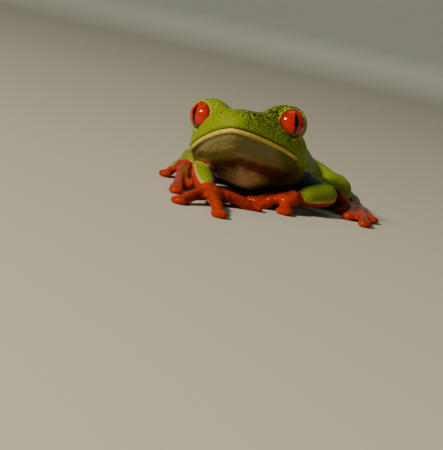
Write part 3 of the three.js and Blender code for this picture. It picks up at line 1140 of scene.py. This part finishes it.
@dataclass(frozen=True)
class EyeFinish:
    """A living eye: a red iris with fine spokes and an upright pupil, under a wet clear cornea."""

    iris: str = "#b01002"
    spokes: str = "#d23204"
    # The iris's own darker edge, with painted shade towards the lids that overhang the ball.
    edge: str = "#6b0a02"
    fibres: Pair = (0.42, 0.72)
    edge_span: Pair = (40.0, 66.0)
    pupil: str = "#030202"
    pupil_half: Pair = (0.34, 1.55)
    pupil_edge: Pair = (0.92, 1.05)
    lower_lid: str = "#3d0a04"
    lower_lid_span: Pair = (-1.55, -1.35)
    lid_line: str = "#8a6a1c"
    lid_line_height: float = -1.62
    lid_line_half: float = 0.05

    def material(self) -> Material:
        """Builds the finish.

        Returns:
            The material.
        """
        made = bare_material("wet cornea over a red iris")
        across, upward = stored(made, "across_mm"), stored(made, "upward_mm")
        around = add_node(made, "CombineXYZ", {"X": across, "Y": upward}).outputs["Vector"]
        spoke = add_node(made, "VectorMath", {0: around}, operation="NORMALIZE").outputs[0]
        fibres = ramp(made, noise(made, spoke, 9.0, 5.0), self.fibres)
        colour = blend(made, fibres, linear(self.iris), linear(self.spokes))
        # Darkens the iris towards its edge: its own darker rim and painted shade under the lids.
        rim = ramp(made, stored(made, "off_axis"), self.edge_span)
        colour = blend(made, rim, colour, linear(self.edge))
        wide = maths(made, "DIVIDE", across, self.pupil_half[0])
        tall = maths(made, "DIVIDE", upward, self.pupil_half[1])
        slit = add_node(made, "CombineXYZ", {"X": wide, "Y": tall}).outputs["Vector"]
        far = add_node(made, "VectorMath", {0: slit}, operation="LENGTH").outputs["Value"]
        colour = blend(made, ramp(made, far, self.pupil_edge), linear(self.pupil), colour)
        over = ramp(made, upward, self.lower_lid_span)
        colour = blend(made, over, linear(self.lower_lid), colour)
        line = maths(made, "COMPARE", upward, self.lid_line_height, self.lid_line_half)
        colour = blend(made, line, colour, linear(self.lid_line))
        return shaded(
            made,
            {
                "Base Color": colour,
                "Roughness": 0.12,
                "IOR": 1.376,
                "Coat Weight": 0.3,
                "Coat Roughness": 0.02,
            },
        )


@dataclass
class Eye:
    """One eyeball, a little fuller at the cornea, deep in its socket.

    Lengths are in millimetres, and angles in degrees.
    """

    side: Side
    radius: float = 2.4
    cornea: float = 0.05
    cornea_half_angle: float = 38.0
    pupil_lean: float = -9.0

    def build(self) -> Object:
        """Makes the eyeball.

        Returns:
            The finished piece.
        """
        node = f"eye_{self.side.name.lower()}"
        bpy.ops.mesh.primitive_uv_sphere_add(segments=48, ring_count=32, radius=self.radius * MM)
        ball = bpy.context.view_layer.objects.active
        ball.name = ball.data.name = f"eyeball_{self.side.name.lower()}"
        rows = corners(ball.data)
        off = np.degrees(np.arccos(np.clip(rows[:, 2] / (self.radius * MM), -1, 1)))
        rows *= (1 + self.cornea / self.radius * bump(off, self.cornea_half_angle))[:, None]
        gaze = unit(HEAD.turn() @ HEAD.gaze(self.side))
        up = HEAD.turn() @ np.array([0.0, 0.0, 1.0])
        across = unit(np.cross(up, gaze))
        lean = self.side.value * math.radians(self.pupil_lean)
        across = across * math.cos(lean) + np.cross(gaze, across) * math.sin(lean)
        up = np.cross(gaze, across)
        paint(ball.data, "across_mm", rows[:, 0] / MM)
        paint(ball.data, "upward_mm", rows[:, 1] / MM)
        paint(ball.data, "off_axis", off)
        placed = rows @ np.array([across, up, gaze]) + box_centre(node)
        move_corners(ball.data, placed)
        ball.data.materials.append(EyeFinish().material())
        choose(ball)
        bpy.ops.object.shade_smooth()
        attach(ball, "root")
        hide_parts(node)
        return ball


# ---- the studio


@dataclass(frozen=True)
class Lamp:
    """One square soft light, aimed at the frog. Lengths are in metres."""

    name: str
    place: Triple
    size: float
    watts: float
    colour: str = "#ffffff"
    shine: float = 1.0
    aim: Triple | None = None


@dataclass
class Studio:
    """A plain pale dish of a floor, soft lights and the camera.

    The floor and clipping are in metres, what is measured from the jaw in millimetres, and
    angles in degrees.
    """

    floor_radius: float = 0.8
    floor_colour: str = "#bebcb5"
    rim_radius: float = 0.5
    rim_steps: int = 12
    lamps: tuple[Lamp, ...] = (
        Lamp("key", (-0.35, -0.33, 0.34), 0.08, 4.2, "#ffedd0"),
        Lamp("sky", (-0.05, 0.25, 0.60), 0.40, 0.38, "#e6f2d8", 0.0),
        Lamp("backdrop", (0.0, 0.45, 0.45), 0.40, 1.4, shine=0.0, aim=(0.25, 1.3, 0.3)),
    )
    sky_colour: str = "#dcf0cc"
    sky_strength: float = 0.13
    aim_from_jaw: Triple = (-1.88, -10.8, -9.37)
    distance: float = 280.0
    look_down: float = 8.0
    lean: float = 12.0
    lens: float = 154.7
    sensor: float = 36.0
    clip: Pair = (0.01, 10.0)

    def build(self) -> None:
        """Makes the floor, lights, sky and camera."""
        self._floor()
        for lamp in self.lamps:
            self._light(lamp)
        sky = bpy.data.worlds.new("plain sky")
        sky.use_nodes = True
        back = sky.node_tree.nodes["Background"]
        back.inputs["Color"].default_value = linear(self.sky_colour)
        back.inputs["Strength"].default_value = self.sky_strength
        bpy.context.scene.world = sky
        self._camera()

    def _floor(self) -> None:
        """A round floor whose rim curves up all round, so that no edge shows."""
        bpy.ops.mesh.primitive_circle_add(vertices=96, radius=self.floor_radius, fill_type="NGON")
        floor = bpy.context.view_layer.objects.active
        floor.name = floor.data.name = "studio_floor"
        bpy.ops.object.mode_set(mode="EDIT")
        bpy.ops.mesh.select_all(action="SELECT")
        bpy.ops.mesh.region_to_loop()
        for step in range(self.rim_steps):
            low, high = (math.pi / 2 * k / self.rim_steps for k in (step, step + 1))
            rise = self.rim_radius * (math.cos(low) - math.cos(high))
            width = [self.floor_radius + self.rim_radius * math.sin(a) for a in (low, high)]
            bpy.ops.mesh.extrude_region_move(TRANSFORM_OT_translate={"value": (0, 0, rise)})
            grow = width[1] / width[0]
            bpy.ops.transform.resize(value=(grow, grow, 1.0), center_override=(0, 0, 0))
        bpy.ops.object.mode_set(mode="OBJECT")
        bpy.ops.object.shade_smooth()
        paper = bare_material("matt white studio paper")
        finish = {"Base Color": linear(self.floor_colour), "Roughness": 0.9}
        floor.data.materials.append(shaded(paper, finish))

    def _light(self, lamp: Lamp) -> None:
        """Adds one soft light, aimed at the head.

        Args:
            lamp: Where it stands and how strong it is.
        """
        bpy.ops.object.light_add(type="AREA", location=lamp.place)
        light = bpy.context.view_layer.objects.active
        light.name = light.data.name = lamp.name
        light.data.size = lamp.size
        light.data.energy = lamp.watts
        light.data.color = linear(lamp.colour)[:3]
        light.data.specular_factor = lamp.shine
        away = Vector(lamp.place) - Vector(lamp.aim or HEAD.origin())
        light.rotation_mode = "QUATERNION"
        light.rotation_quaternion = away.to_track_quat("Z", "Y")

    def _camera(self) -> None:
        """Sets the camera low in front of the frog, leaning to the side a little."""
        down, lean = math.radians(self.look_down), math.radians(self.lean)
        ahead = Vector((0, math.cos(down), -math.sin(down)))
        rise = Vector((0, math.sin(down), math.cos(down)))
        east = Vector((1, 0, 0))
        right = east * math.cos(lean) + rise * math.sin(lean)
        up = rise * math.cos(lean) - east * math.sin(lean)
        aim = Vector(HEAD.origin()) + Vector(self.aim_from_jaw) * MM
        bpy.ops.object.camera_add(location=aim - ahead * self.distance * MM)
        camera = bpy.context.view_layer.objects.active
        camera.rotation_mode = "QUATERNION"
        camera.rotation_quaternion = Matrix((right, up, -ahead)).transposed().to_quaternion()
        camera.data.sensor_width = self.sensor
        camera.data.sensor_fit = "HORIZONTAL"
        camera.data.lens = self.lens
        camera.data.clip_start, camera.data.clip_end = self.clip
        bpy.context.scene.camera = camera


# ---- everything, in order


def main() -> None:
    """Builds the skin, the eyes and the studio, and logs each piece's face count."""
    logging.basicConfig(level=logging.INFO, format="%(message)s")
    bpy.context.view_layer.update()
    for piece in (Skin().build(), *(Eye(side).build() for side in Side)):
        log.info("%s: %d faces", piece.name, len(piece.data.polygons))
    Studio().build()


if __name__ == "__main__":
    main()
